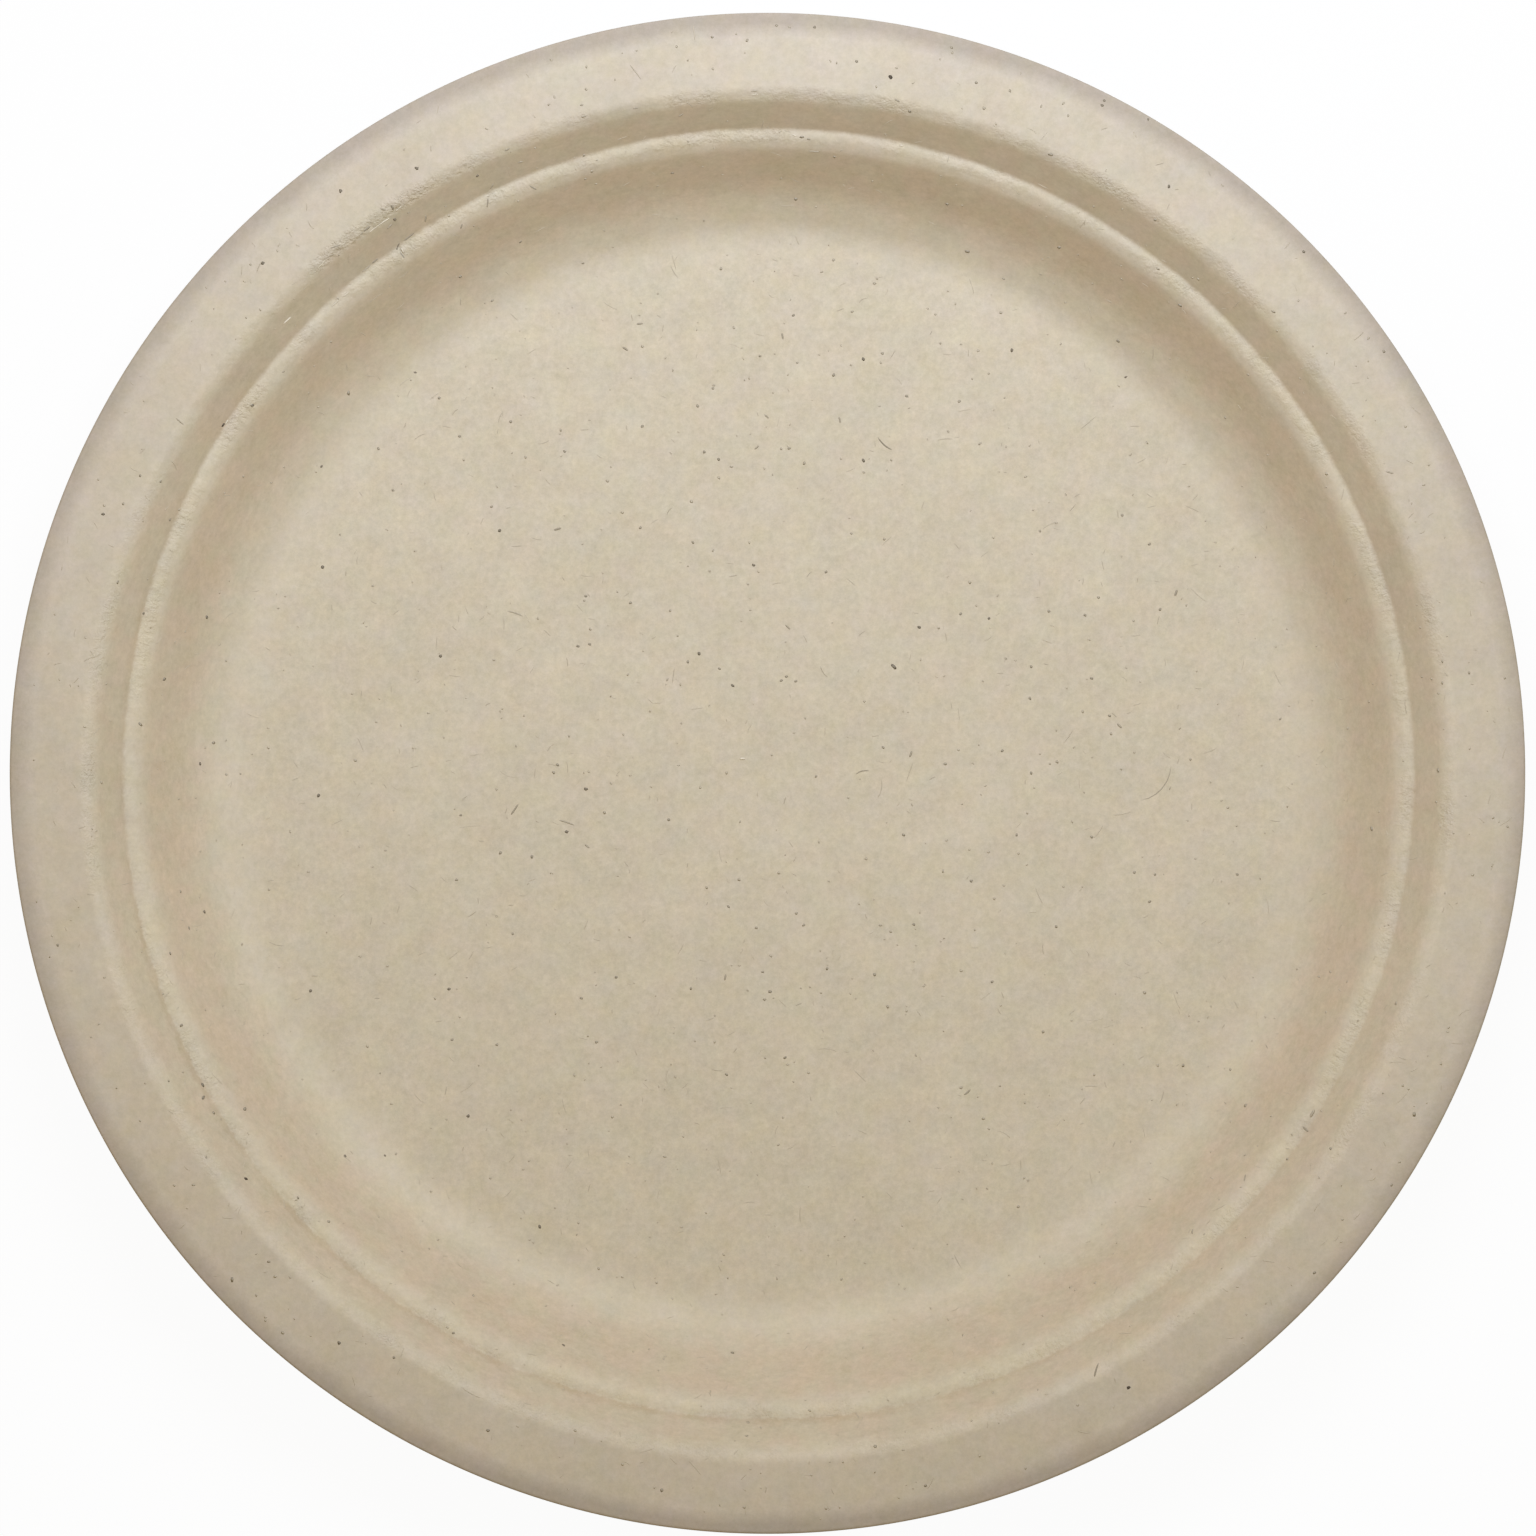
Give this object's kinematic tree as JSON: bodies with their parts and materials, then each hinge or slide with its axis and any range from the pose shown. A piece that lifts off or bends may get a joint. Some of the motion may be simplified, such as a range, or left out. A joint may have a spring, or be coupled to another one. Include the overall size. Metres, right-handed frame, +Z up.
{
  "type": "paper plate",
  "caption": "Round disposable plate moulded in one piece from unbleached plant fibre: flat floor, sloping wall, narrow ledge with a second short step, wide shallow-crowned rim and trimmed edge.",
  "frame": {"origin": "centre of the underside of the floor, on the plane that the plate rests on", "axes": "+Z up, out of the food side; round about Z, so X and Y are free, with +Y toward the top of the picture"},
  "size_m": [0.228, 0.228, 0.0198],
  "materials": {
    "moulded_pulp": "matt unbleached fibre with fine dark specks"
  },
  "bodies": {
    "root": {"plate": "moulded_pulp"}
  },
  "joints": []
}
